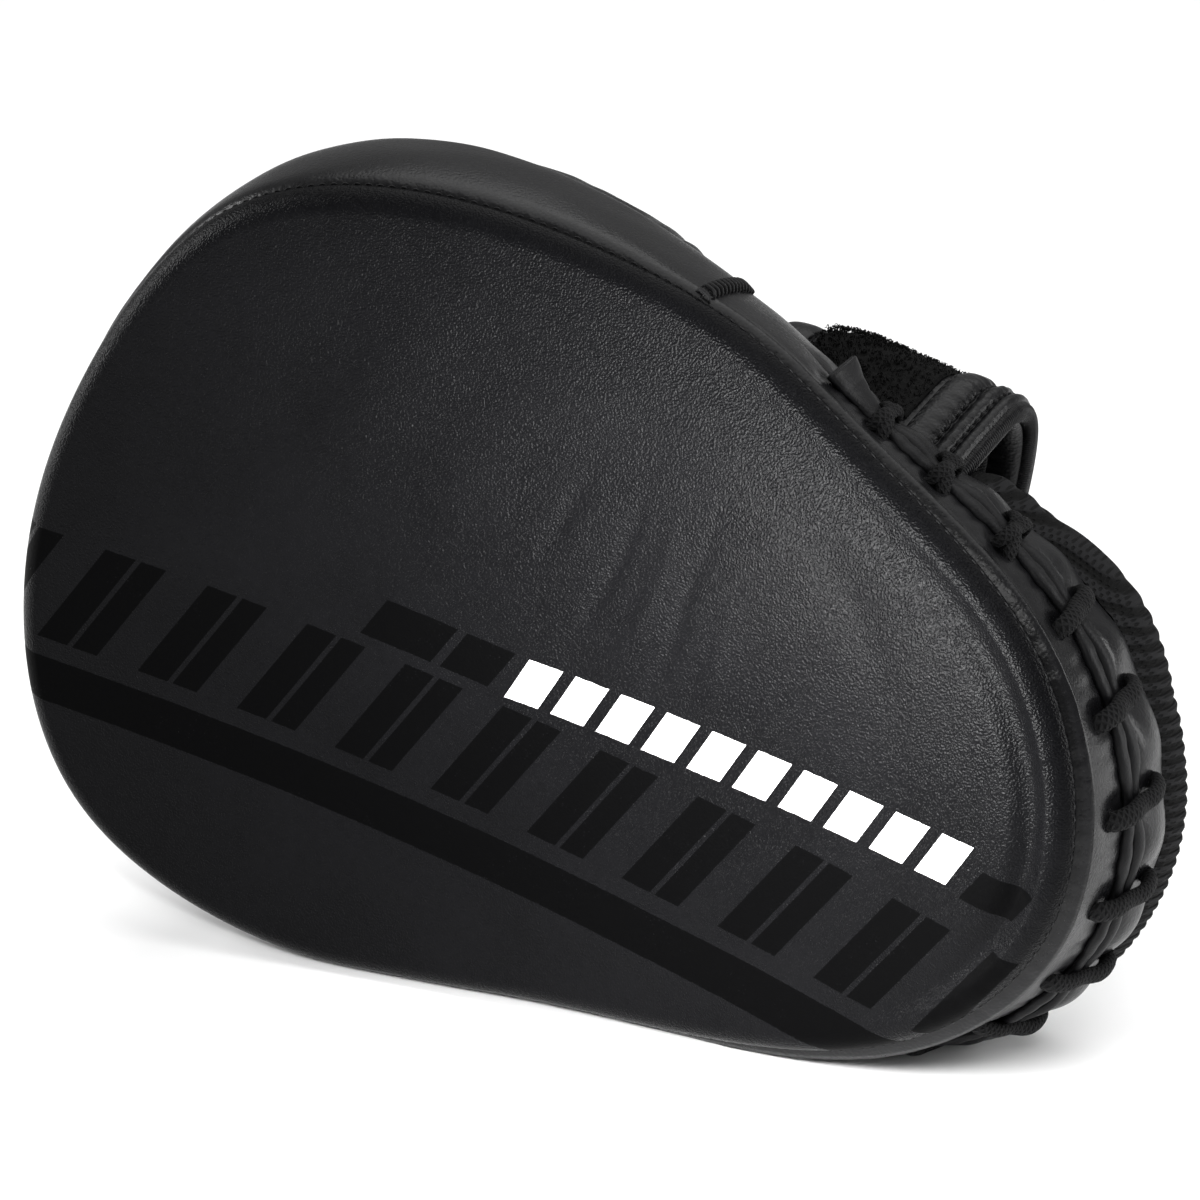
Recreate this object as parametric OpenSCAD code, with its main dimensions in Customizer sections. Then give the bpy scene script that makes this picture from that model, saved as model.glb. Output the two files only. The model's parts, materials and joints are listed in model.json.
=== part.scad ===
// Curved, laced coaching mitt for boxing and kicking drills.
// It stands on its long lower side: X runs from the finger end to the wrist, Y from the
// strike face to the hand side, Z up. Lengths are in millimetres.

/* [Pad] */
// Slope of the hand's line down towards the wrist, degrees
lean = 16; // [12:1:20]
// Radius of the hollow that the strike face is bent to
bend_r = 650; // [500:10:900]
// Place along the pad where the strike face is deepest
bend_s = 45; // [20:1:60]
// Depth of the pad behind the deepest point, at the hand's centre
pad_depth = 37; // [32:1:45]
// Slope of the pad's back towards the wrist, degrees
back_slope = 4.5; // [2:0.5:6]
// Thickness of the leather
leather = 2.2; // [1.5:0.1:3]
// Thickness of the foam sheet behind the strike face
strike_foam_t = 11; // [8:1:14]
// Thickness of the gel and latex core
core_foam_t = 12; // [8:1:16]

/* [Gusset and lacing] */
// Place along the pad where the finger and heel gussets join
join_s = 10; // [0:1:20]
// Distance from the pad's back to the middle of the lacing slit
slit_from_back = 19; // [16:1:22]
// Place along the pad where the slit starts, on both sides
slit_s = 57; // [50:1:70]
// Width of the lacing slit
slit_w = 7; // [4:1:9]
// Diameter of the lace
lace_d = 3.4; // [3:0.1:4]
// Times that the lace crosses the slit
lace_crossings = 10; // [6:1:11]
// Stitches in the join of the gussets
stitch_count = 12; // [6:1:14]

/* [Finger hood] */
// Place along the pad of the hood's open edge
hood_s = -14; // [-30:1:-10]
// Distance from the strike face's deepest point to the hood's top
hood_top = 82; // [74:1:88]
// Thickness of the hood's padding
hood_padding_t = 4; // [2:0.5:6]

/* [Wrist cushion] */
// Distance from the strike face's deepest point to the cushion's top
wrist_top = 67; // [58:1:68]

/* [Cuff and strap] */
// Edge of the cuff that faces the hood
cuff_s0 = 10; // [6:1:16]
// Edge of the cuff that faces the forearm
cuff_s1 = 64; // [58:1:70]
// Half width of the cuff where it is sewn to the pad
cuff_foot = 62; // [58:1:64]
// Half width of the cuff at its widest
cuff_half_w = 75; // [68:1:80]
// Distance from the strike face's deepest point to the cuff's widest line
cuff_mid = 70; // [64:1:74]
// Distance from the strike face's deepest point to the cuff's top
cuff_top = 103; // [96:1:106]
// Thickness of the cuff's padding
cuff_padding_t = 4; // [2:0.5:6]
// How far the strap reaches past the cuff's middle
strap_reach = 40; // [30:1:50]

/* [Hidden] */

$fn = 96;
far = 400;
fit = 0.3;
origin_z = 98;
// Moves the origin to the middle of the mitt's footprint
shift_x = -2.5;
shift_y = -41.7;
lining = 1.5;
// Control points of the pad's outline, X and Z, from the wrist end over the top
corners = [[158, 54], [120, 136], [58, 175], [16, 199], [-71, 212], [-118, 163],
    [-155, 65], [-95, -9], [5, 2], [75, -6]];
spans = len(corners);
span_steps = 8;
core_gap = 8;
// Lace crossings run from first_cross to last_cross, counted in control points
first_cross = 1.6;
last_cross = -0.85;
pile_t = 1.5;
hook_t = 1.5;
strap_t = 2.2;
rim_w = 6;
// Hinge of the strap, across and behind, at its sewn root
hinge_y = 73;
hood_r_across = 113;
hood_r_along = 160;
wrist_r = 250;
mesh_t = 3;

// The hand's line: X along it towards the wrist, Y behind, Z across
module along_hand() translate([shift_x, shift_y, origin_z])
    rotate([0, lean, 0]) children();

function to_s(p) = (p[0] - shift_x) * cos(lean) - (p[1] - origin_z) * sin(lean);
function back_y(p) = shift_y + pad_depth + to_s(p) * tan(back_slope);

// Uniform cubic B-spline through the control points, and its slope
function corner(i) = corners[(i % spans + spans) % spans] + [shift_x, 0];
function spline(u) = let (i = floor(u), f = u - i)
    ((1 - f) ^ 3 * corner(i - 1) + (3 * f ^ 3 - 6 * f ^ 2 + 4) * corner(i)
    + (-3 * f ^ 3 + 3 * f ^ 2 + 3 * f + 1) * corner(i + 1) + f ^ 3 * corner(i + 2)) / 6;
function along(u) = let (d = spline(u + 0.01) - spline(u - 0.01)) d / norm(d);
// Point of the outline moved inwards, kept on the flat foot
function edge(u, inset) = let (p = spline(u), d = along(u))
    [p[0] - inset * d[1], max(p[1] + inset * d[0], inset)];

// Place of the gussets' join on the outline's upper side
join_u = [for (u = [2:0.01:3]) if (to_s(spline(u)) < join_s) u][0];

module prism(inset) rotate([90, 0, 0]) linear_extrude(2 * far, center = true)
    polygon([for (k = [0:spans * span_steps - 1]) edge(k / span_steps, inset)]);

// Everything in front of the strike face moved back by depth
module before_face(depth) along_hand() translate([bend_s, -bend_r, 0])
    cylinder(r = bend_r + depth, h = 2 * far, center = true, $fn = 400);

// Everything behind the pad's back moved forward by depth
module behind_back(depth) along_hand() translate([0, pad_depth, 0]) rotate([0, 0, back_slope])
    translate([-far, -depth, -far]) cube(2 * far);

// Stretch of the hand's line from s0 to s1
module stretch(s0, s1) along_hand() translate([s0, -far, -far])
    cube([s1 - s0, 2 * far, 2 * far]);

// Layer of the pad between two depths behind the face
module layer(inset, d0, d1) difference() {
    intersection() { prism(inset); before_face(d1); }
    before_face(d0);
}

module strike_panel() color("#1b1b1d") layer(0, 0, leather);
module strike_foam() color("#3a3a3c") layer(leather + fit, leather, leather + strike_foam_t);
module core_foam() color("#54545a") layer(core_gap, leather + strike_foam_t,
    leather + strike_foam_t + core_foam_t);
module rear_foam() color("#3a3a3c") difference() {
    prism(core_gap);
    before_face(leather + strike_foam_t + core_foam_t);
    behind_back(leather);
}
module back_panel() color("#1b1b1d") intersection() {
    difference() { prism(0); behind_back(0); }
    behind_back(leather);
}

// Side wall of the pad between the strike panel and the back panel
module side_wall() difference() {
    prism(0);
    prism(leather);
    before_face(leather);
    behind_back(leather);
}
module finger_gusset() color("#202022") intersection() { side_wall(); stretch(-far, join_s); }
module heel_gusset_front() color("#202022") difference() {
    intersection() { side_wall(); stretch(join_s, far); }
    intersection() { behind_back(slit_from_back + slit_w / 2); stretch(slit_s, far); }
}
module heel_gusset_rear() color("#202022") intersection() {
    side_wall();
    stretch(slit_s, far);
    behind_back(slit_from_back - slit_w / 2);
}
module slit_tongue() color("#161617") intersection() {
    difference() {
        prism(core_gap - 2);
        prism(core_gap - fit);
        before_face(leather + strike_foam_t);
    }
    difference() { behind_back(slit_from_back + 10); behind_back(slit_from_back - 10); }
    stretch(slit_s - 4, far);
}

// Folded leather tab at the slit's upper end
module lace_tab() color("#242426") let (p = edge(first_cross + 0.16, -0.1), d = along(first_cross))
    translate([p[0], back_y(p) - slit_from_back, p[1]])
    rotate([0, -atan2(d[1], d[0]) + 180, 0]) rotate([0, 0, 180])
    translate([0, 0, -2.4]) linear_extrude(2.2)
    polygon([[-9, 0], [6, -9], [9, -7], [9, 7], [6, 9]]);

// Round tube along a route, with its rings turned as little as possible
function unit(v) = v / norm(v);
function heading(p, i) = unit(p[min(i + 1, len(p) - 1)] - p[max(i - 1, 0)]);
function carry(v, t) = unit(v - (v * t) * t);
function sides(p, v, i = 0) = i == len(p) ? [] :
    let (w = carry(v, heading(p, i))) concat([w], sides(p, w, i + 1));
module tube(p, r, n) {
    side = sides(p, [0.3, 0.2, 1]);
    rings = len(p);
    ring_points = [for (i = [0:rings - 1], k = [0:n - 1])
        p[i] + r * (cos(360 * k / n) * side[i] + sin(360 * k / n) * cross(heading(p, i), side[i]))];
    walls = [for (i = [0:rings - 2], k = [0:n - 1]) let (m = (k + 1) % n)
        [i * n + k, (i + 1) * n + k, (i + 1) * n + m, i * n + m]];
    polyhedron(ring_points, concat([[for (k = [0:n - 1]) k]], walls,
        [[for (k = [n - 1:-1:0]) (rings - 1) * n + k]]), convexity = 10);
}
function lace_point(u, inset, dy) = let (p = edge(u, inset))
    [p[0], back_y(p) - slit_from_back + dy, p[1]];
function lace_route() = [for (k = [0:lace_crossings - 1])
    let (u = first_cross + (last_cross - first_cross) * k / (lace_crossings - 1))
    each [lace_point(u + 0.05, 4.1, -5), lace_point(u + 0.03, 0.5, -7),
        lace_point(u + 0.01, -2.4, -5), lace_point(u - 0.03, -2.9, 0),
        lace_point(u - 0.07, -2.4, 5), lace_point(u - 0.09, 0.5, 7),
        lace_point(u - 0.11, 4.1, 5)]];
module lace_cord() color("#0e0e0f") tube(lace_route(), lace_d / 2, 8);

// Short threads across the join of the two gussets, on the upper side
module join_stitches() color("#2c2c2e") let (p = edge(join_u, -0.3), d = along(join_u))
    for (k = [0:stitch_count - 1]) translate([p[0], shift_y + 4 + k * 2.6, p[1]])
    rotate([0, -atan2(d[1], d[0]), 0]) rotate([0, 90, 0])
    cylinder(d = 0.9, h = 7, center = true);

// Dome of the finger hood, drawn in by depth
module hood_dome(depth) intersection() {
    prism(7 + depth);
    along_hand() translate([0, hood_top - hood_r_across, 0]) rotate([0, 90, 0])
        cylinder(r = hood_r_across - depth, h = 2 * far, center = true, $fn = 200);
    along_hand() translate([-20, hood_top + 2 - hood_r_along, 0])
        cylinder(r = hood_r_along - depth, h = 2 * far, center = true, $fn = 200);
}
module hood_layer(d0, d1) intersection() {
    difference() { hood_dome(d0); hood_dome(d1); }
    behind_back(0);
    stretch(-far, hood_s);
}
module finger_hood() color("#1e1e20") hood_layer(0, leather);
module hood_padding() color("#4a4a4e") hood_layer(leather, leather + hood_padding_t);
module hood_lining() color("#161617")
    hood_layer(leather + hood_padding_t, leather + hood_padding_t + lining);
module hood_binding() color("#242426") intersection() {
    difference() { hood_dome(-1); hood_dome(leather + hood_padding_t + lining + 1); }
    behind_back(0);
    stretch(hood_s, hood_s + 4);
}

// Rounded bar that the palm closes on
module palm_cushion() color("#202022") intersection() {
    along_hand() translate([12, 42, 0]) cylinder(r = 20, h = 96, center = true);
    behind_back(0);
}

// Cushion under the wrist: a low shelf inside the cuff and a full, domed end beyond it
module wrist_shape(inset) intersection() {
    prism(3 + inset);
    behind_back(0);
    along_hand() translate([0, wrist_top - inset - wrist_r, 0]) rotate([0, 90, 0])
        cylinder(r = wrist_r - inset, h = 2 * far, center = true, $fn = 200);
    along_hand() union() {
        translate([cuff_s1 + rim_w + 3 + inset, -far, -far]) cube(2 * far);
        translate([40 + inset, -far, inset - 50])
            cube([far, far + wrist_top - 8 - inset, 100 - 2 * inset]);
    }
}
module wrist_pad_foam() color("#4a4a4e") wrist_shape(mesh_t);
module wrist_pad_mesh() color("#121213") difference() {
    wrist_shape(0);
    wrist_shape(mesh_t);
}

// Cross-section of the cuff: a foot, a flared wall and a flat arch, drawn in by depth
function arch(depth) = concat([[0, cuff_foot - depth]],
    [for (a = [0:10:180]) [cuff_mid + (cuff_top - cuff_mid - depth) * sin(a) ^ 0.8,
        (cuff_half_w - depth) * sign(cos(a)) * abs(cos(a)) ^ 0.8]],
    [[0, depth - cuff_foot]]);
module cuff_arch(depth, s0, s1) along_hand() translate([s0, 0, 0])
    rotate([90, 0, 90]) linear_extrude(s1 - s0) polygon([for (p = arch(depth)) p]);
module cuff_layer(d0, d1, s0, s1) intersection() {
    difference() { cuff_arch(d0, s0, s1); cuff_arch(d1, s0 - 1, s1 + 1); }
    behind_back(0);
}
// The part of the cuff beyond t0 towards the top, behind y0
module beyond(t0, y0) along_hand() translate([-far, y0, t0]) cube([2 * far, far, far]);

module cuff_shell() color("#1e1e20") cuff_layer(0, leather, cuff_s0, cuff_s1);
module cuff_padding() color("#4a4a4e")
    cuff_layer(leather, leather + cuff_padding_t, cuff_s0, cuff_s1);
module cuff_lining() color("#161617")
    cuff_layer(leather + cuff_padding_t, leather + cuff_padding_t + lining, cuff_s0, cuff_s1);
module cuff_rim() color("#242426")
    cuff_layer(-1, leather + cuff_padding_t + lining + 1, cuff_s1, cuff_s1 + rim_w);
module cuff_front_binding() color("#242426")
    cuff_layer(-1, leather + cuff_padding_t + lining + 1, cuff_s0 - 4, cuff_s0);
module loop_pile() color("#0f0f10") intersection() {
    cuff_layer(-pile_t, 0, cuff_s0 + 8, cuff_s1 - 10);
    beyond(-20, 56);
}

// Foot of the strap, sewn to the cuff's lower wall
module strap_root() color("#202022") intersection() {
    cuff_layer(-3.4, 0, cuff_s0 + 8, cuff_s1 - 10);
    along_hand() translate([-far, 50, -far]) cube([2 * far, hinge_y - 50 - 1, far]);
}
module strap_leather() color("#202022") intersection() {
    cuff_layer(-(pile_t + fit + hook_t + strap_t), -(pile_t + fit + hook_t),
        cuff_s0 + 8, cuff_s1 - 10);
    along_hand() translate([-far, hinge_y, -far]) cube([2 * far, far, far + strap_reach]);
}
module hook_patch() color("#0f0f10") intersection() {
    cuff_layer(-(pile_t + fit + hook_t), -(pile_t + fit), cuff_s0 + 12, cuff_s1 - 14);
    along_hand() translate([-far, hinge_y, strap_reach - 42]) cube([2 * far, far, 40]);
}
module strap_tab() color("#242426") intersection() {
    cuff_layer(-(pile_t + fit + hook_t + strap_t), -(pile_t + fit + 0.6),
        cuff_s0 + 20, cuff_s1 - 22);
    along_hand() translate([-far, hinge_y, strap_reach]) cube([2 * far, far, 12]);
}

strike_panel();
strike_foam();
core_foam();
rear_foam();
back_panel();
finger_gusset();
heel_gusset_front();
heel_gusset_rear();
slit_tongue();
lace_tab();
lace_cord();
join_stitches();
finger_hood();
hood_padding();
hood_lining();
hood_binding();
palm_cushion();
wrist_pad_foam();
wrist_pad_mesh();
cuff_shell();
cuff_padding();
cuff_lining();
cuff_rim();
cuff_front_binding();
loop_pile();
strap_root();
strap_leather();
hook_patch();
strap_tab();
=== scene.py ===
import json
import math

import bmesh
import bpy
import numpy as np
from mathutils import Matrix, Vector


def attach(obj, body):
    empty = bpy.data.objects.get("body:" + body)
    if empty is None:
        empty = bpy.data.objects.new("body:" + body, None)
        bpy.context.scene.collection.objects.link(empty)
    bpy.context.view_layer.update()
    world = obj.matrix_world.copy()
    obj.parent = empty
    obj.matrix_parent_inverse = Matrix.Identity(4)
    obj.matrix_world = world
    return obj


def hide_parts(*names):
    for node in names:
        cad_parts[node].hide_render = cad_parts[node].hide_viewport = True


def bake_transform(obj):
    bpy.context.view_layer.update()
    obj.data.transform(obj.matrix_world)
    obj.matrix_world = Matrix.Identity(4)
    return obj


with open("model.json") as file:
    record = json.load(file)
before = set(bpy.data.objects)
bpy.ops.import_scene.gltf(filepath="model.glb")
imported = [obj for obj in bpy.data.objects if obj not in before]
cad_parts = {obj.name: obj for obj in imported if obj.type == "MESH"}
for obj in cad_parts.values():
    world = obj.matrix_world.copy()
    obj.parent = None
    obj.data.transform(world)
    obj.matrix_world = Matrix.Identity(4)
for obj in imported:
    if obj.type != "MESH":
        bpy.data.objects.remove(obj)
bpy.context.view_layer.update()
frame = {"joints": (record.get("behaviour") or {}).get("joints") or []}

# A laced, curved focus mitt. Shapes are worked out in millimetres in the mitt's own frame:
# X from the finger end to the wrist, Y behind the deepest point of the strike face, Z up.

MM = 0.001
rng = np.random.default_rng(11)


# ---------------------------------------------------------------- the mitt's frame

LEAN = math.radians(16)
HAND_Z = 98.0
BEND_R = 650.0
BEND_S = 45.0
PAD_DEPTH = 37.0
BACK_SLOPE = math.tan(math.radians(4.5))


def hand_s(x, z):
    """Distance along the hand's line, from a place in the pad's plane."""
    return x * math.cos(LEAN) - (z - HAND_Z) * math.sin(LEAN)


def hand_t(x, z):
    """Distance across the hand's line, from a place in the pad's plane."""
    return x * math.sin(LEAN) + (z - HAND_Z) * math.cos(LEAN)


def from_hand(s, y, t):
    """Point from its distance along the hand's line, behind the face and across."""
    s, y, t = np.broadcast_arrays(s, y, t)
    x = s * math.cos(LEAN) + t * math.sin(LEAN)
    z = HAND_Z - s * math.sin(LEAN) + t * math.cos(LEAN)
    return np.stack([x, y, z], -1).astype(float)


def from_hand_vector(s, y, t):
    """Direction given along, behind and across the hand's line."""
    return from_hand(s, y, t) - from_hand(0, 0, 0)


HINGE = np.array(frame["joints"][0]["pos_m"], float)
HINGE_IN_HAND = (36.0, 73.0, -79.5)
ORIGIN = HINGE - from_hand(*HINGE_IN_HAND) * MM


def place(points):
    """Millimetres in the mitt's frame to metres in the shared frame."""
    return np.asarray(points, float) * MM + ORIGIN


RIB_PITCH = 3.1     # of the wrist cushion's mesh, in millimetres


def face_y(s):
    """Depth of the hollow strike face: an arc of radius BEND_R across the hand's line."""
    return np.sqrt(BEND_R ** 2 - (s - BEND_S) ** 2) - BEND_R


def back_y(s):
    """Depth of the pad's flat back, which slopes gently towards the wrist."""
    return PAD_DEPTH + s * BACK_SLOPE


# Control points of the outline at the strike face and at the back, X and Z
FRONT = np.array([[146, 54], [135, 119], [87, 152], [56, 180], [19, 194], [-23, 206], [-81, 205],
                  [-120, 156], [-144, 100], [-140, 29], [-72, -4], [-12, 3], [40, 1], [99, 9]], float)
REAR = np.array([[150, 53], [131, 119], [79, 147], [49, 171], [17, 192], [-25, 210], [-85, 209],
                 [-121, 159], [-139, 100], [-133, 32], [-72, -2], [-13, 1], [43, 0], [110, -6]], float)
SPANS = len(FRONT)
FOOT = 0.6


def bspline(f, a, b, c, d):
    """Uniform cubic B-spline at a share f of the way between its two middle controls."""
    return ((1 - f) ** 3 * a + (3 * f ** 3 - 6 * f ** 2 + 4) * b
            + (-3 * f ** 3 + 3 * f ** 2 + 3 * f + 1) * c + f ** 3 * d) / 6


def spline(controls, u):
    """Closed uniform cubic B-spline near its control points, at u counted in points."""
    i = np.floor(u).astype(int)
    return bspline((u - i)[..., None], *(controls[(i + k) % len(controls)] for k in (-1, 0, 1, 2)))


def outline(controls, u, inset=0.0):
    """Outline moved inwards along its normal, and kept above the foot by a smooth maximum."""
    step = 0.02
    d = spline(controls, u + step) - spline(controls, u - step)
    n = np.stack([d[..., 1], -d[..., 0]], -1) / np.linalg.norm(d, axis=-1, keepdims=True)
    p = spline(controls, u) - n * np.asarray(inset)[..., None]
    over = p[..., 1] - FOOT
    p = np.stack([p[..., 0], FOOT + 0.5 * (over + np.sqrt(over ** 2 + 1.0))], -1)
    return p, n


def ease(x, low, high):
    """Smooth step from 0 at low to 1 at high."""
    f = np.clip((x - low) / (high - low), 0, 1)
    return f * f * (3 - 2 * f)


def hump(x, middle, width):
    """Bell curve: 1 at its middle, falling to a third one width away."""
    return np.exp(-((x - middle) / width) ** 2)


def unit(v):
    """Vectors scaled to length one along their last axis."""
    return v / np.linalg.norm(v, axis=-1, keepdims=True)


def wrap_u(u):
    """Outline parameter from -SPANS / 2 to SPANS / 2, with the wrist end at 0."""
    return (u + SPANS / 2) % SPANS - SPANS / 2


def ripple(x, z, size, seed, octaves=3):
    """Smooth random height from sums of sine waves in turned directions."""
    turn = np.random.default_rng(seed)
    total = 0
    for k in range(octaves):
        for _ in range(4):
            a, p = turn.uniform(0, 2 * math.pi, 2)
            w = 2 * math.pi / size * 1.7 ** k * turn.uniform(0.7, 1.3)
            total = total + np.sin(w * (x * math.cos(a) + z * math.sin(a)) + p) * 0.6 ** k
    return total / 4


# ---------------------------------------------------------------- meshes

WELD_M = 1e-6


def make_mesh(name, points, faces, uv=None):
    """Mesh object from points in millimetres, quads or triangles, and a UV pair per corner."""
    mesh = bpy.data.meshes.new(name)
    points = place(points).reshape(-1, 3)
    faces = np.asarray(faces)
    mesh.vertices.add(len(points))
    mesh.vertices.foreach_set("co", points.ravel())
    mesh.loops.add(faces.size)
    mesh.loops.foreach_set("vertex_index", faces.ravel())
    mesh.polygons.add(len(faces))
    mesh.polygons.foreach_set("loop_start", np.arange(0, faces.size, faces.shape[1]))
    mesh.update(calc_edges=True)
    mesh.polygons.foreach_set("use_smooth", np.ones(len(faces), bool))
    if uv is not None:
        layer = mesh.uv_layers.new(name="UVMap")
        layer.data.foreach_set("uv", np.asarray(uv, float).ravel())
    obj = bpy.data.objects.new(name, mesh)
    bpy.context.collection.objects.link(obj)
    return obj


def grid_faces(rows, cols, close_rows=False, close_cols=False):
    """Quads of a grid, with corner indices and the grid steps at each corner."""
    i, j = np.meshgrid(np.arange(rows - (not close_rows)), np.arange(cols - (not close_cols)),
                       indexing="ij")
    i, j = i.ravel(), j.ravel()
    ci = np.stack([i, i + 1, i + 1, i], 1)
    cj = np.stack([j, j, j + 1, j + 1], 1)
    return (ci % rows) * cols + cj % cols, ci, cj


def sheet_from(name, points, close_rows=False, close_cols=False, scale=(1.0, 1.0), weld=True):
    """Surface through a grid of points. Its UV counts millimetres along rows and columns."""
    rows, cols = points.shape[:2]
    faces, ci, cj = grid_faces(rows, cols, close_rows, close_cols)
    uv = np.stack([ci * scale[0], cj * scale[1]], -1)
    obj = make_mesh(name, points, faces, uv)
    if weld:
        tidy_mesh(obj)
    return obj


def tidy_mesh(obj, weld=True):
    """Points the faces outwards, and first closes poles and seams where weld asks for it."""
    b = bmesh.new()
    b.from_mesh(obj.data)
    if weld:
        bmesh.ops.remove_doubles(b, verts=b.verts, dist=WELD_M)
    bmesh.ops.recalc_face_normals(b, faces=b.faces)
    b.to_mesh(obj.data)
    b.free()
    obj.data.polygons.foreach_set("use_smooth", np.ones(len(obj.data.polygons), bool))
    return obj


def run_of(path):
    """Distance along a path at each of its points."""
    return np.r_[0, np.cumsum(np.linalg.norm(np.diff(path, axis=0), axis=1))]


def read_at(want, run, values):
    """Rows of values given along a run, read by straight lines at the wanted distances."""
    return np.stack([np.interp(want, run, column) for column in values.T], -1)


def frames_along(path):
    """Tangent and two normals at each point of a path, carried along with least turning."""
    t = unit(np.gradient(path, axis=0))
    side = np.cross(t[0], [0.31, 0.9, 0.22])
    sides = []
    for tangent in t:
        side = unit(side - (side @ tangent) * tangent)
        sides.append(side)
    sides = np.array(sides)
    return t, sides, np.cross(t, sides)


def ring_of(a, b, count):
    """Circle of offsets spanned by two vectors at each place, along a new axis."""
    turn = np.linspace(0, 2 * math.pi, count, endpoint=False)[:, None]
    return np.cos(turn) * a[..., None, :] + np.sin(turn) * b[..., None, :]


def tube_points(path, radius, around=12, side=None, flat=1.0):
    """Ring of points about each point of a path. flat thins the ring across its side vector."""
    t, a, b = frames_along(path)
    if side is not None:
        a = unit(side - (side * t).sum(1, keepdims=True) * t)
        b = np.cross(t, a)
    radius = np.broadcast_to(radius, (len(path),))[:, None, None]
    return path[:, None] + radius * ring_of(a * flat, b, around)


def capped(rings, squeeze=False):
    """Adds a point at each end of a tube, so that its ends close. squeeze adds a half-size
    ring before each, which rounds the end."""
    first, last = (np.repeat(rings[k].mean(0)[None], rings.shape[1], 0)[None] for k in (0, -1))
    if squeeze:
        rings = np.concatenate([0.5 * (rings[:1] + first), rings, 0.5 * (rings[-1:] + last)])
    return np.concatenate([first, rings, last])


def tube(name, path, radius, around=12, side=None, flat=1.0):
    """Closed tube along a path. Its UV counts millimetres along, and turns around."""
    path = np.asarray(path, float)
    rings = capped(tube_points(path, radius, around, side, flat))
    return sheet_from(name, rings, close_cols=True, scale=(run_of(path)[-1] / len(path), 1 / around))


def through(points, count):
    """Catmull-Rom curve through a few points, evenly spread by length."""
    p = np.asarray(points, float)
    p = np.vstack([2 * p[0] - p[1], p, 2 * p[-1] - p[-2]])
    f = np.linspace(0, 1, 16, endpoint=False)[:, None]
    out = []
    for a, b, c, d in zip(p[:-3], p[1:-2], p[2:-1], p[3:]):
        out.append(0.5 * (2 * b + (c - a) * f + (2 * a - 5 * b + 4 * c - d) * f ** 2
                          + (3 * b - a - 3 * c + d) * f ** 3))
    out = np.vstack(out + [p[-2][None]])
    run = run_of(out)
    return read_at(np.linspace(0, run[-1], count), run, out)


def stitches(name, path, normals, length=2.1, gap=0.9, radius=0.3):
    """Row of short raised threads along a path, each a bowed spindle of six sides."""
    run = run_of(path)
    starts = np.arange(gap, run[-1] - length, length + gap)
    steps = np.linspace(0, 1, 5)
    at = starts[:, None] + steps * length
    centre = read_at(at, run, path)
    out = unit(read_at(at, run, normals))
    across = np.cross(unit(np.gradient(centre, axis=1)), out)
    centre = centre + out * (0.35 * np.sin(math.pi * steps) - 0.1)[None, :, None]
    swell = radius * np.sqrt(np.maximum(np.sin(math.pi * (0.04 + 0.92 * steps)), 0.02))
    points = centre[:, :, None] + ring_of(across, out, 6) * swell[None, :, None, None]
    return many_tubes(name, points)


def many_tubes(name, points):
    """Separate closed tubes, from an array of tube, ring, corner and coordinate."""
    count, rings, around = points.shape[:3]
    faces, _, _ = grid_faces(rings, around, close_cols=True)
    ends = np.stack([np.arange(around)[::-1], (rings - 1) * around + np.arange(around)])
    offset = (np.arange(count) * rings * around)[:, None, None]
    quads = (faces[None] + offset).reshape(-1, 4)
    caps = (ends[None] + offset).reshape(-1, around)
    mesh = bpy.data.meshes.new(name)
    mesh.from_pydata(place(points.reshape(-1, 3)).tolist(), [], quads.tolist() + caps.tolist())
    obj = bpy.data.objects.new(name, mesh)
    bpy.context.collection.objects.link(obj)
    return tidy_mesh(obj, weld=False)


def resample(field, count, axis, closed):
    """Cubic B-spline resampling of a grid of values along one axis."""
    f = np.moveaxis(field, axis, 0)
    at = np.arange(count) * (len(f) / count if closed else (len(f) - 1) / (count - 1))
    i = np.floor(at).astype(int)
    t = (at - i).reshape((-1,) + (1,) * (f.ndim - 1))
    near = (f[(i + k) % len(f)] if closed else f[np.clip(i + k, 0, len(f) - 1)] for k in (-1, 0, 1, 2))
    return np.moveaxis(bspline(t, *near), 0, axis)


CLOTH_FRAMES = 20
CLOTH_PRESSURE = 4.0


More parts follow.
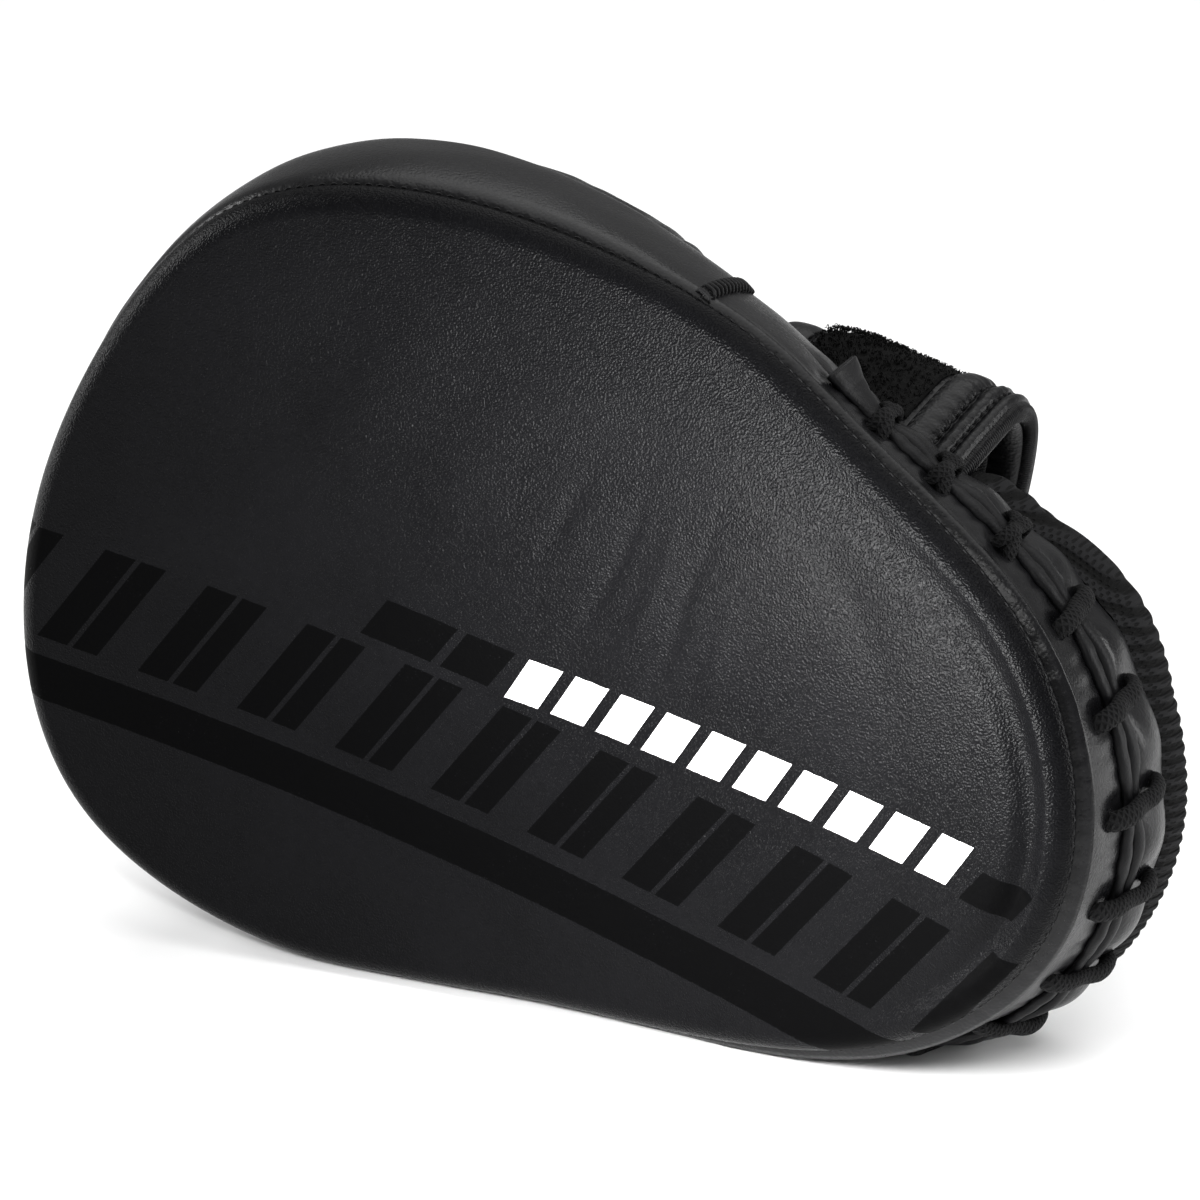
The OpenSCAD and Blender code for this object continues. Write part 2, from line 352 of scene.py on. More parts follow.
def settled(points, step, held, cap, slack, closed=True):
    """Fine grid moved as a coarser copy of it moves in a short cloth simulation. The copy is
    slightly too large, held at its sewn edges and inflated, so the leather puckers there.
    No point moves more than cap millimetres."""
    if closed:
        rows = np.arange(0, len(points), step)
    else:
        rows = np.linspace(0, len(points) - 1, len(points) // step)
    cols = np.linspace(2, points.shape[1] - 1, points.shape[1] // step)
    coarse = points[np.ix_(np.round(rows).astype(int), np.round(cols).astype(int))]
    faces, _, _ = grid_faces(*coarse.shape[:2], close_rows=closed)
    obj = tidy_mesh(make_mesh("settling", coarse, faces), weld=False)
    normals = np.zeros(len(obj.data.polygons) * 3)
    obj.data.polygons.foreach_get("normal", normals)
    if normals[1::3].sum() < 0:
        obj.data.flip_normals()
    group = obj.vertex_groups.new(name="held")
    fixed = np.zeros(coarse.shape[:2], bool)
    fixed[:, -held:] = True
    if not closed:
        fixed[:2] = fixed[-2:] = True
    group.add(np.flatnonzero(fixed.ravel()).tolist(), 1.0, "REPLACE")
    cloth = obj.modifiers.new("settle", "CLOTH").settings
    cloth.vertex_group_mass = "held"
    cloth.quality = 6
    cloth.mass = 0.25
    cloth.tension_stiffness = cloth.compression_stiffness = 25
    cloth.bending_stiffness = 0.6
    cloth.use_pressure = True
    cloth.uniform_pressure_force = CLOTH_PRESSURE
    cloth.shrink_min = -slack
    cloth.effector_weights.gravity = 0
    for k in range(1, CLOTH_FRAMES + 1):
        bpy.context.scene.frame_set(k)
    after = obj.evaluated_get(bpy.context.evaluated_depsgraph_get()).data
    moved = np.zeros(coarse.size)
    after.vertices.foreach_get("co", moved)
    shift = (moved.reshape(coarse.shape) - place(coarse)) / MM
    size = np.linalg.norm(shift, axis=-1, keepdims=True)
    shift = shift * np.minimum(1, cap / np.maximum(size, 1e-6))
    bpy.data.objects.remove(obj)
    bpy.context.scene.frame_set(1)
    shift = resample(shift, points.shape[0], 0, closed)
    fine = resample(shift, points.shape[1] - 2, 1, False)
    middle = fine[:, :1].mean(0, keepdims=True)
    blend = np.linspace(0, 1, 3)[None, :2, None]
    fine = np.concatenate([middle * (1 - blend) + fine[:, :1] * blend, fine], 1)
    return points + fine


# ---------------------------------------------------------------- shader maths

class Shade:
    """A socket that adds its own nodes when it is used in an expression."""

    def __init__(self, tree, socket):
        self.tree, self.socket = tree, socket

    def node(self, kind, settings=None, stops=None, out=0, **inputs):
        """Adds a node: settings first, then the values or links of its sockets."""
        node = self.tree.nodes.new(kind)
        for key, value in (settings or {}).items():
            setattr(node, key, value)
        if stops:
            ramp = node.color_ramp
            while len(ramp.elements) > len(stops):
                ramp.elements.remove(ramp.elements[-1])
            while len(ramp.elements) < len(stops):
                ramp.elements.new(0.5)
            for element, (position, value) in zip(ramp.elements, stops):
                element.position = position
                element.color = (value, value, value, 1) if isinstance(value, (int, float)) else value
        for key, value in inputs.items():
            key = int(key[1:]) if key[0] == "i" and key[1:].isdigit() else key.replace("_", " ")
            socket = node.inputs[key]
            if isinstance(value, Shade):
                self.tree.links.new(value.socket, socket)
            elif value is not None:
                socket.default_value = value
        return Shade(self.tree, node.outputs[out])

    def math(self, kind, *values):
        inputs = {f"i{k}": v for k, v in enumerate(values)}
        return self.node("ShaderNodeMath", {"operation": kind}, **inputs)

    def __add__(self, other): return self.math("ADD", self, other)
    def __radd__(self, other): return self.math("ADD", other, self)
    def __sub__(self, other): return self.math("SUBTRACT", self, other)
    def __rsub__(self, other): return self.math("SUBTRACT", other, self)
    def __mul__(self, other): return self.math("MULTIPLY", self, other)
    def __rmul__(self, other): return self.math("MULTIPLY", other, self)
    def __truediv__(self, other): return self.math("DIVIDE", self, other)
    def above(self, limit): return self.math("GREATER_THAN", self, limit)
    def below(self, limit): return self.math("LESS_THAN", self, limit)
    def most(self, other): return self.math("MAXIMUM", self, other)
    def absolute(self): return self.math("ABSOLUTE", self)
    def sine(self): return self.math("SINE", self)
    def modulo(self, other): return self.math("FLOORED_MODULO", self, other)

    def soft(self, low, high):
        """Smooth step between two limits."""
        return self.node("ShaderNodeMapRange", {"interpolation_type": "SMOOTHSTEP"},
                         i0=self, i1=low, i2=high, i3=0.0, i4=1.0)

    def range(self, low, high, to_low, to_high):
        return self.node("ShaderNodeMapRange", i0=self, i1=low, i2=high, i3=to_low, i4=to_high)

    def mix(self, factor, first, second):
        """Colour mix of two colours by a factor."""
        return self.node("ShaderNodeMix", {"data_type": "RGBA"}, out=2, i0=factor, i6=first, i7=second)


class Finish:
    """A material: its shader, its object or UV coordinates, and its bumps."""

    def __init__(self, name, colour=(0.02, 0.02, 0.02), rough=0.5, **sockets):
        self.material = bpy.data.materials.new(name)
        self.material.use_nodes = True
        self.tree = self.material.node_tree
        self.shader = self.tree.nodes["Principled BSDF"]
        self.output = self.tree.nodes["Material Output"]
        self.shader.inputs["Base Color"].default_value = (*colour, 1)
        self.shader.inputs["Roughness"].default_value = rough
        for key, value in sockets.items():
            self.shader.inputs[key.replace("_", " ")].default_value = value
        self.start = Shade(self.tree, None)
        self.places = self.start.node("ShaderNodeTexCoord", out=3)
        self.uv = self.start.node("ShaderNodeTexCoord", out=2)
        self.slope = None

    def axes(self, vector):
        """X, Y and Z of a vector, as values."""
        split = self.tree.nodes.new("ShaderNodeSeparateXYZ")
        self.tree.links.new(vector.socket, split.inputs[0])
        return [Shade(self.tree, split.outputs[k]) for k in range(3)]

    def noise(self, scale, detail=3.0, rough=0.5, vector=None, warp=0.0):
        return self.start.node("ShaderNodeTexNoise", Vector=vector or self.places, Scale=scale,
                               Detail=detail, Roughness=rough, Distortion=warp)

    def cells(self, scale, vector=None, feature="SMOOTH_F1", random=1.0, soft=0.6):
        inputs = {"Vector": vector or self.places, "Scale": scale, "Randomness": random}
        if feature == "SMOOTH_F1":
            inputs["Smoothness"] = soft
        return self.start.node("ShaderNodeTexVoronoi", {"feature": feature}, **inputs)

    def bump(self, height, distance, strength=1.0):
        """Adds a bump of this height in millimetres on top of those before."""
        inputs = {"Height": height, "Distance": distance * MM, "Strength": strength}
        if self.slope is not None:
            inputs["Normal"] = self.slope
        self.slope = self.start.node("ShaderNodeBump", **inputs)

    def link(self, value, socket, shader=None):
        self.tree.links.new(value.socket, (shader or self.shader).inputs[socket])

    def coat(self, mask, dark, pale, rough, bumps=()):
        """Colour between two tones by a mask, roughness from a value, and pairs of bump
        height and depth in millimetres."""
        self.link(self.start.mix(mask, dark, pale), "Base Color")
        self.link(rough, "Roughness")
        for height, depth in bumps:
            self.bump(height, depth)

    def done(self):
        """Connects the bumps, and gives the material."""
        if self.slope is not None:
            self.link(self.slope, "Normal")
        return self.material


def grey(value, blue=None):
    """Colour with full alpha: one value for red and green, and its own for blue."""
    return (value, value, value if blue is None else blue, 1)


def scaled(colour, factor):
    """Colour times a factor, with full alpha."""
    return (*(c * factor for c in colour), 1)


def leather_finish(name, colour, rough, grain_mm, grain, wear, gloss):
    """Coated leather: soft pebbles with finer creases, cloudy gloss and paler high spots.
    Depths are in millimetres: grain for the pebbles, and wear for the slow unevenness."""
    f = Finish(name, colour, rough, Specular_IOR_Level=gloss)
    pebble = f.cells(1000 / grain_mm, soft=0.8)
    crease = f.noise(2100 / grain_mm, 4, 0.6)
    cloud = f.noise(22, 3, 0.55, warp=0.4)
    speck = f.noise(420, 4, 0.6)
    tone = (cloud - 0.5) * 0.9 + (speck - 0.5) * 0.5
    f.coat(tone.range(-0.35, 0.35, 0.0, 1.0), scaled(colour, 0.72), scaled(colour, 1.5),
           tone * 0.22 + pebble * 0.10 + rough - 0.04,
           [(pebble, grain), (crease, grain * 0.25), (cloud, wear)])
    return f


# ---------------------------------------------------------------- prints on the strike face

def band(x, z, start, end, half_width, lean=0.0):
    """Mask of a straight band between two places, its ends leaning, from X and Z values.
    Also gives the leaning distance along it."""
    dx, dz = end[0] - start[0], end[1] - start[1]
    length = math.hypot(dx, dz)
    dx, dz = dx / length, dz / length
    along = (x - start[0]) * dx + (z - start[1]) * dz
    across = (z - start[1]) * dx - (x - start[0]) * dz
    along = along - across * lean
    return along.above(0.0) * along.below(length) * across.absolute().below(half_width), along


# Each print: start, end and half width, in millimetres across the face
STRIPE = ((-160.0, 79.1), (150.0, -3.7), 6.0)
BLOCK_ROW = ((-160.0, 105.7), (118.0, 31.5), 14.6)
PATCH = ((115.5, 60.5), (128.5, 57.3), 4.4)
TICK = ((-43.0, 98.6), (-9.0, 89.6), 5.6)
DASH_ROW = ((-5.0, 88.1), (112.5, 64.3), 5.8)
# How the prints repeat: pitch and the length of the part that is left bare or filled
BLOCK_PITCH, BLOCK_GAP, BLOCK_SLOT, SLOT_SHIFT = 27.0, 11.0, 1.4, 8.0
TICK_PITCH, TICK_FILL = 22.0, 19.4
DASH_PITCH, DASH_FILL = 12.4, 9.0
PRINT_LEAN, DASH_LEAN = 0.45, 0.40
INK, WHITE = grey(0.0008, 0.0009), (0.93, 0.93, 0.92, 1)


def strike_finish():
    """Pebbled leather with a dull stripe, slanted blocks above it, a small tick and white dashes."""
    f = leather_finish("strike leather", (0.0023, 0.0023, 0.0027), 0.27, 0.48, 0.17, 0.30, 0.054)
    x, _, z = f.axes(f.places)
    wobble = (f.noise(700, 3) - 0.5) * 0.35
    x = (x - float(ORIGIN[0])) / MM + wobble
    z = (z - float(ORIGIN[2])) / MM + wobble
    stripe, _ = band(x, z, *STRIPE)
    row, along = band(x, z, *BLOCK_ROW, PRINT_LEAN)
    slots = (along + SLOT_SHIFT).modulo(BLOCK_PITCH).above(BLOCK_SLOT)
    bars = along.modulo(BLOCK_PITCH).above(BLOCK_GAP) * slots
    patch, _ = band(x, z, *PATCH, PRINT_LEAN)
    tick, tick_along = band(x, z, *TICK, PRINT_LEAN)
    tick = tick * tick_along.modulo(TICK_PITCH).below(TICK_FILL)
    dashes, dash_along = band(x, z, *DASH_ROW, DASH_LEAN)
    dashes = dashes * dash_along.modulo(DASH_PITCH).below(DASH_FILL)
    pinholes = 1 - f.cells(900, feature="F1").below(0.13) * f.noise(90, 2).soft(0.52, 0.60)
    dull = stripe.most(row * bars).most(tick).most(patch) * pinholes
    printed = dull.most(dashes)
    ink = f.tree.nodes.new("ShaderNodeBsdfPrincipled")
    ink.inputs["Specular IOR Level"].default_value = 0.022
    f.link(f.start.mix(dashes, INK, WHITE), "Base Color", ink)
    f.link(dashes * -0.05 + f.noise(260, 3) * 0.12 + 0.42, "Roughness", ink)
    dent = f.start.node("ShaderNodeBump", Height=f.cells(1600, soft=0.9), Distance=0.05 * MM)
    f.link(dent, "Normal", ink)
    join = f.tree.nodes.new("ShaderNodeMixShader")
    f.tree.links.new(printed.socket, join.inputs[0])
    f.tree.links.new(f.shader.outputs[0], join.inputs[1])
    f.tree.links.new(ink.outputs[0], join.inputs[2])
    f.tree.links.new(join.outputs[0], f.output.inputs[0])
    return f.done()


def thread_finish():
    """Twisted thread: fine slanting strands along each stitch."""
    colour = (0.0052, 0.0052, 0.0056)
    f = Finish("sewing thread", colour, 0.6, Sheen_Weight=0.05, Specular_IOR_Level=0.12)
    twist = f.noise(2600, 3, 0.6)
    f.link(f.start.mix(twist, scaled(colour, 0.7), scaled(colour, 1.6)), "Base Color")
    f.bump(twist, 0.08)
    return f.done()


def lace_finish():
    """Braided cord: two slanted sets of strands that cross, with soft fibres, and painted shade in the pits
    between the strands.
    """
    f = Finish("lace braid", (0.006, 0.006, 0.0062), 0.85, Specular_IOR_Level=0.15)
    u, v, _ = f.axes(f.uv)
    left = (u * 4.4 + v * 37.70).sine()
    right = (u * 4.4 - v * 37.70).sine()
    braid = left.most(right)
    fibre = f.noise(3500, 4, 0.7)
    # Painted shade: the colour darkens where the braid is low, between the strands; the fibre noise is the
    # cord's own tone.
    f.coat(braid * 0.35 + fibre * 0.6, grey(0.0015, 0.0018), grey(0.0085, 0.009),
           fibre * 0.15 + 0.76, [(braid, 0.26), (fibre, 0.12)])
    return f.done()


def mesh_finish():
    """Spacer mesh: rows of small holes between rounded ribs, with painted shade in the holes and in the
    valleys between the ribs.
    """
    f = Finish("spacer mesh", (0.008, 0.008, 0.0085), 0.75, Specular_IOR_Level=0.08)
    u, v, _ = f.axes(f.uv)
    rib = (v * (2 * math.pi / RIB_PITCH) + math.pi / 2).sine().soft(-0.9, 0.5)
    hole = ((u * 3.5).sine() * (v * (4 * math.pi / RIB_PITCH)).sine()).soft(0.05, 0.7)
    thread = f.noise(3000, 3, 0.6)
    # Painted shade: the colour darkens in the valleys between the ribs and in the holes, following their
    # bumps.
    f.coat(rib * (1 - hole * 0.8), grey(0.0006), grey(0.0095, 0.0102),
           thread * 0.2 + 0.62, [(rib, 0.5), (1 - hole, 0.35), (thread, 0.10)])
    return f.done()


def lining_finish():
    """Plain weave, read from the surface's own UV, with painted shade in the weave's hollows and painted
    highlight on its raised threads.
    """
    colour, pitch = (0.009, 0.009, 0.0098), 0.7
    f = Finish("lining weave", colour, 0.8, Sheen_Weight=0.05)
    u, v, _ = f.axes(f.uv)
    weave = (u * (math.pi / pitch)).sine() * (v * (math.pi / pitch)).sine()
    fuzz = f.noise(2400, 4, 0.6)
    # Painted light and shade: the weave's raised threads are paler and its hollows darker; the fuzz noise
    # is the cloth's own tone.
    f.coat(weave * 0.4 + fuzz * 0.6, scaled(colour, 0.55), scaled(colour, 1.5),
           fuzz * 0.15 + 0.72, [(weave, 0.12), (fuzz, 0.08)])
    return f.done()


def pile_finish():
    """Loop pile: matt, with a tone that varies at random in clumps and fine fibres."""
    f = Finish("loop pile", (0.004, 0.004, 0.004), 0.95, Specular_IOR_Level=0.08)
    clump = f.noise(260, 4, 0.6)
    fibre = f.noise(2600, 4, 0.7)
    f.coat(clump * 0.6 + fibre * 0.5, grey(0.0012), grey(0.009), fibre * 0.1 + 0.85, [(fibre, 0.3)])
    return f.done()


def hook_finish():
    """Moulded hook tape: rows of tiny stems on a flat strip, with painted highlight on the stems and
    painted shade between them.
    """
    f = Finish("hook tape", (0.008, 0.008, 0.0085), 0.5)
    u, v, _ = f.axes(f.uv)
    stems = ((u * 4.2).sine() * (v * 4.2).sine()).soft(0.2, 0.8)
    # Painted light and shade: the raised stems are paler and the strip between them darker, following their
    # bumps.
    f.coat(stems, grey(0.004), grey(0.02, 0.021), f.noise(900) * 0.2 + 0.4, [(stems, 0.6)])
    return f.done()


# Leathers: name, colour, roughness, grain size and depth, wear depth and gloss
LEATHERS = {
    "gusset_leather": ("gusset leather", (0.0038, 0.0038, 0.0043), 0.30, 0.8, 0.07, 0.25, 0.18),
    "back_leather": ("back leather", (0.0042, 0.0042, 0.0047), 0.33, 0.9, 0.12, 0.25, 0.13),
    "palm_leather": ("palm leather", (0.009, 0.009, 0.0098), 0.55, 0.8, 0.10, 0.25, 0.3),
    "binding": ("binding leather", (0.0040, 0.0040, 0.0045), 0.34, 0.7, 0.06, 0.2, 0.15),
    "soft hem": ("soft hem leather", (0.0042, 0.0042, 0.0047), 0.48, 0.6, 0.06, 0.3, 0.12),
}
MATERIALS = {slot: leather_finish(*values).done() for slot, values in LEATHERS.items()}
MATERIALS.update(strike_leather=strike_finish(), lining=lining_finish(), spacer_mesh=mesh_finish(),
                 pile=pile_finish(), hook_tape=hook_finish(), lace=lace_finish(),
                 thread=thread_finish())


def finish_piece(obj, slot, body="root", replaces=(), look=None, wall=0):
    """Gives a piece the material of its slot (or of look), a wall of this thickness in millimetres
    where it has one, and its body, and hides the CAD solids that it stands for."""
    if wall:
        solid = obj.modifiers.new("wall", "SOLIDIFY")
        solid.thickness = wall * MM
        solid.offset = -1
    obj.data.materials.append(MATERIALS[look or slot])
    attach(obj, body)
    if replaces:
        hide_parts(*replaces)
    return obj


def skin(name, points, slot, body="root", replaces=(), look=None, wall=0, **grid):
    """Finished piece from a grid of points."""
    return finish_piece(sheet_from(name, points, **grid), slot, body, replaces, look, wall)


def thread_row(name, path, normals, body="root", **sizes):
    """Finished row of stitches."""
    finish_piece(stitches(name, path, normals, **sizes), "thread", body)


# ---------------------------------------------------------------- the pad

CENTRE = np.array([0.0, 100.0])
SEAM_TURN = math.radians(76)    # how far the face's edge rolls before its seam
AROUND = 720                    # rays of the face
EDGE_BAND = 26.0                # width of the finer rows along the face's rim
SKIN = 1.1                      # thickness of the pad's leather
SLIT_TOP_U, SLIT_LOW_U = 2.62, -1.75
JOIN_U = 3.42                   # upper and lower joins of the two gussets
LOW_JOIN_U = 10.9 - SPANS
LACE_STEP = -0.385
CROSSINGS = 11
LACE_U = 2.25 + LACE_STEP * np.arange(CROSSINGS)
DOUBLED = 3                     # crossings from the top that are knotted
LACE_R, KNOT_R = 2.5, 1.75
FLOOR_GAP = 0.15                # height of the pad's lowest leather above the floor


def roll_radius(u):
    """Radius of the face's rolled edge: fuller at the finger end, tighter at the wrist."""
    return 5.6 + 1.0 * ease(np.abs(wrap_u(u)), 3.0, 6.0)


def heel_share(u):
    """1 along the laced side of the pad, 0 round the finger end."""
    v = wrap_u(u)
    return (1 - ease(v, 2.4, 3.9)) * ease(v, -3.2, -1.8)


def deepest(u, heel):
    """Share of the heel's full seam valley: whole round the wrist end, an eighth further up."""
    return heel * (1 - 0.88 * ease(wrap_u(u), 0.3, 2.2))


def face_height(x, z, from_rim, u):
    """Depth of the face's surface: the bend, a sewn-in valley by the heel, creases and unevenness."""
    y = face_y(hand_s(x, z))
    heel = heel_share(u) * ease(wrap_u(u), -1.5, -0.2)
    deep = deepest(u, heel)
    wide = 3.4 + 2.2 * ease(wrap_u(u), 0.0, 1.6)
    valley = heel * hump(from_rim, 9.8, wide)
    y = y + valley * (0.25 + 1.9 * deep)
    y = y - 0.5 * deep * hump(from_rim, 4.9, 2.4)
    pucker = ripple(wrap_u(u) * 50, from_rim * 0.3, 7.0, 21, 2)
    y = y + (0.05 + 0.16 * deep) * heel * pucker * hump(from_rim, 6.0, 3.6)
    inner = ease(from_rim, 10, 34)
    y = y + 0.35 * inner * ripple(x, z, 95, 3)
    for cx, cz, angle, length, width, depth in FACE_CREASES:
        a = math.radians(angle)
        along = (x - cx) * math.cos(a) + (z - cz) * math.sin(a)
        across = (z - cz) * math.cos(a) - (x - cx) * math.sin(a) - 0.004 * along ** 2
        y = y + depth * np.exp(-(along / length) ** 2 - (across / width) ** 2)
    return y


# Faint creases of the face: centre X and Z, angle, half length, half width and depth
FACE_CREASES = (
    (20, 117, 62, 17, 2.2, 0.45), (29, 110, 66, 20, 2.4, -0.35), (36, 103, 70, 16, 2.0, 0.45),
    (47, 98, 74, 13, 2.0, -0.30), (8, 130, 58, 12, 2.4, 0.35), (44, 124, 68, 12, 2.0, 0.25),
    (-60, 150, 40, 26, 6.0, 0.30), (84, 118, 118, 22, 5.0, 0.35),
)


def rolled_edge(u, turn=SEAM_TURN):
    """Place on the face's rolled edge, at a turn from the flat face: XZ, the rim's normal and
    depth. The default turn is the seam with the gusset."""
    rim, n = outline(FRONT, u)
    r = roll_radius(u)
    flat = rim - n * r[..., None]
    y = face_height(flat[..., 0], flat[..., 1], r, u) + r * (1 - np.cos(turn))
    return flat + n * (r * np.sin(turn))[..., None], n, y


def strike_panel():
    """Rays from the middle of the face out to the rolled edge, over it, and into the seam."""
    u = np.linspace(0, SPANS, AROUND, endpoint=False)
    rim, n = outline(FRONT, u)
    r = roll_radius(u)
    edge = rim - n * r[:, None]
    reach = edge - CENTRE
    facing = (reach * n).sum(1)
    strip = np.linspace(EDGE_BAND, 0, 44)
    inner = 1 - EDGE_BAND / facing[:, None]
    share = np.concatenate([inner * np.linspace(0, 1, 50)[None, :-1], 1 - strip / facing[:, None]], 1)
    xz = CENTRE + reach[:, None] * share[..., None]
    from_rim = r[:, None] + (1 - share) * facing[:, None]
    y = face_height(xz[..., 0], xz[..., 1], from_rim, np.repeat(u[:, None], share.shape[1], 1))
    flat = np.stack([xz[..., 0], y, xz[..., 1]], -1)
    turn = np.linspace(0, SEAM_TURN, 15)[1:]
    out = np.r_[np.sin(turn), np.sin(SEAM_TURN) - 0.20, np.sin(SEAM_TURN) - 0.75]
    back = np.r_[1 - np.cos(turn), 1 - np.cos(SEAM_TURN) + 0.10, 1 - np.cos(SEAM_TURN) + 0.14]
    roll_xz = edge[:, None] + n[:, None] * (r[:, None] * out)[..., None]
    roll_y = y[:, -1:] + r[:, None] * back
    roll = np.stack([roll_xz[..., 0], roll_y, roll_xz[..., 1]], -1)
    roll[..., 2] = np.maximum(roll[..., 2], 0.25)
    skin("strike_face", np.concatenate([flat, roll], 1),
         "strike_leather", replaces=["strike_panel", "strike_foam"], wall=SKIN, close_rows=True)


def slit_share(u):
    """Place of the lacing slit across the gusset, as a share of its depth."""
    return 0.53 + 0.10 * (1 - ease(wrap_u(u), -0.8, 0.9))


def lace_wave(u):
    """1 halfway between two lace crossings, 0 at a crossing."""
    return np.sin(math.pi * (u - LACE_U[0]) / LACE_STEP) ** 2


def bulge(w, power):
    """Arch of a half sine wave, raised to a power: 0 at w = 0 and 1, and 1 halfway."""
    return np.maximum(np.sin(math.pi * w), 0) ** power


def gusset_surface(u, w, lift=0.0):
    """Side wall of the pad. u goes round, w from the face's seam (0) to the back (1).
    A straight line joins the two outlines, and the leather bows outwards between its seams."""
    u, w = np.broadcast_arrays(np.asarray(u, float), np.asarray(w, float))
    front, n, front_y = rolled_edge(u)
    rear, n_rear = outline(REAR, u)
    rear_y = back_y(hand_s(rear[..., 0], rear[..., 1])) - 1.0
    depth = rear_y - front_y
    mm_from_seam = w * depth
    heel = heel_share(u)
    slit = slit_share(u)
    full = 2.7 * bulge(w, 0.55)
    half = np.where(w < slit, w / slit, (w - slit) / (1 - slit))
    puffed = 1.6 + ease(w, slit, slit + 0.15) * (0.2 + 1.9 * lace_wave(u))
    laced = puffed * bulge(half, 0.6)
    in_slit = ease(wrap_u(u), SLIT_LOW_U - 0.3, SLIT_LOW_U + 0.1)
    in_slit = in_slit * (1 - ease(wrap_u(u), SLIT_TOP_U - 0.25, SLIT_TOP_U + 0.3))
    plain = 2.4 * bulge(w, 0.6)
    bow = full * (1 - heel) + heel * (laced * in_slit + plain * (1 - in_slit))
    deep = deepest(u, heel)
    welt = (0.4 * heel + 1.9 * deep) * hump(mm_from_seam, 3.6, 1.5)
    pucker = 0.10 * ripple(u * 60, mm_from_seam, 4.5, 9, 2) * np.exp(-mm_from_seam / 3.0)
    sag = 0.25 * ripple(u * 40, mm_from_seam, 38, 5) * np.minimum(bow, 1)
    pull = in_slit * (1 - lace_wave(u)) ** 4
    dimples = 1.1 * hump(w - slit, -0.2, 0.09) + 0.8 * hump(w - slit, 0.24, 0.10)
    sag = sag - pull * dimples
    sag = sag + 0.16 * in_slit * np.sin(u * 70 + 9 * w) * hump(w - slit, -0.16, 0.13)
    tuck = (3.0 + 2.0 * deep) * np.exp(-mm_from_seam / 1.25) + np.exp(-(depth - mm_from_seam) / 0.8)
    out = bow + welt + pucker + sag + lift - tuck
    base = front + (rear - front) * w[..., None]
    normal = n + (n_rear - n) * w[..., None]
    xz = base + normal * out[..., None]
    z = np.maximum(xz[..., 1], FLOOR_GAP + 0.02 * np.minimum(xz[..., 1] + 12, 12))
    return np.stack([xz[..., 0], front_y + depth * w + 0 * out, z], -1)


def surface_out(u, w):
    """Outward normal of the gusset in three axes, from the two outlines."""
    _, n = outline(FRONT, np.asarray(u, float))
    _, m = outline(REAR, np.asarray(u, float))
    k = n + (m - n) * np.asarray(w)[..., None]
    return np.stack([k[..., 0], 0 * k[..., 0], k[..., 1]], -1)


def gussets():
    """Finger gusset, and the heel gusset in a front and a rear strip either side of the slit."""
    cols = np.r_[0, 0.012, 0.025, 0.04, np.linspace(0.06, 0.94, 40), 0.97, 0.985, 1.0]
    u = np.linspace(JOIN_U, SPANS + LOW_JOIN_U, 520)
    skin("finger_gusset_leather", gusset_surface(u[:, None], cols, 0.5),
         "gusset_leather", replaces=["finger_gusset"], wall=SKIN)
    u = np.linspace(LOW_JOIN_U, JOIN_U + 0.02, 620)
    slit = slit_share(u)[:, None]
    edge = np.r_[0, 0.02, 0.04, 0.07, np.linspace(0.1, 0.93, 26), 0.97, 1.0]
    for node, w in (("heel_gusset_front", slit * edge),
                    ("heel_gusset_rear", slit + (1 - slit) * (1 - edge[::-1]))):
        skin(node + "_leather", gusset_surface(u[:, None], w), "gusset_leather", replaces=[node], wall=SKIN)


# Hems of the slit: name, side, height above the gusset and radius
HEMS = (("front_hem", -1.0, 0.9, 2.35), ("rear_hem", 1.0, 1.0, 2.35), ("middle_pleat", 0.06, 0.9, 1.5))


def lips():
    """Rolled hems and pleats of the slit, pinched together where the lace crosses them."""
    u = np.linspace(SLIT_LOW_U, SLIT_TOP_U - 0.1, 420)
    wave = lace_wave(u)
    ends = ease(u, SLIT_LOW_U, SLIT_LOW_U + 0.3)
    depth = np.maximum(back_y(hand_s(*outline(REAR, u)[0].T)) - rolled_edge(u)[2], 20)
    for name, side, height, thick in HEMS:
        offset = side * (1.7 + 0.95 * wave) * ends + 0.25 * np.sin(u * 9 + side)
        w = slit_share(u) + offset / depth
        out = surface_out(u, w)
        path = gusset_surface(u, w) + out * (height - 0.5 * (1 - ends))[:, None]
        path[:, 2] = np.maximum(path[:, 2], 1.9)
        radius = thick * (0.80 + 0.26 * wave + 0.05 * np.sin(u * 37 + 2 * side)) * (0.5 + 0.5 * ends)
        obj = tube(name, path, radius, 16, side=out, flat=0.62)
        finish_piece(obj, "gusset_leather", look="soft hem")
    u = np.linspace(SLIT_LOW_U, SLIT_TOP_U, 220)
    w = slit_share(u)[:, None] + np.linspace(-0.12, 0.12, 5)
    skin("slit_tongue_cloth", gusset_surface(u[:, None], w, -2.6),
         "lining", replaces=["slit_tongue"], wall=0.8)


# The lace over one crossing: places across the slit, and heights above the gusset
LOOP_ACROSS = np.array([-0.19, -0.22, -0.20, -0.11, 0.0, 0.11, 0.21, 0.25, 0.24])
LOOP_HIGH = np.array([-3.0, -0.6, 1.7, 3.3, 4.0, 3.6, 2.4, 0.2, -2.6])


def lace_loop(u, shift, spread, lift):
    """One crossing of the lace: up through the front hole, over the hems, down behind them."""
    w = slit_share(u) + LOOP_ACROSS * spread
    uu = u + np.linspace(-0.045 + shift, 0.045 - shift, len(w))
    points = gusset_surface(uu, w) + surface_out(uu, w) * (LOOP_HIGH + lift)[:, None]
    points[:, 2] = np.maximum(points[:, 2], 2.3)
    return through(points, 40), surface_out(np.full(40, u), np.full(40, slit_share(u)))


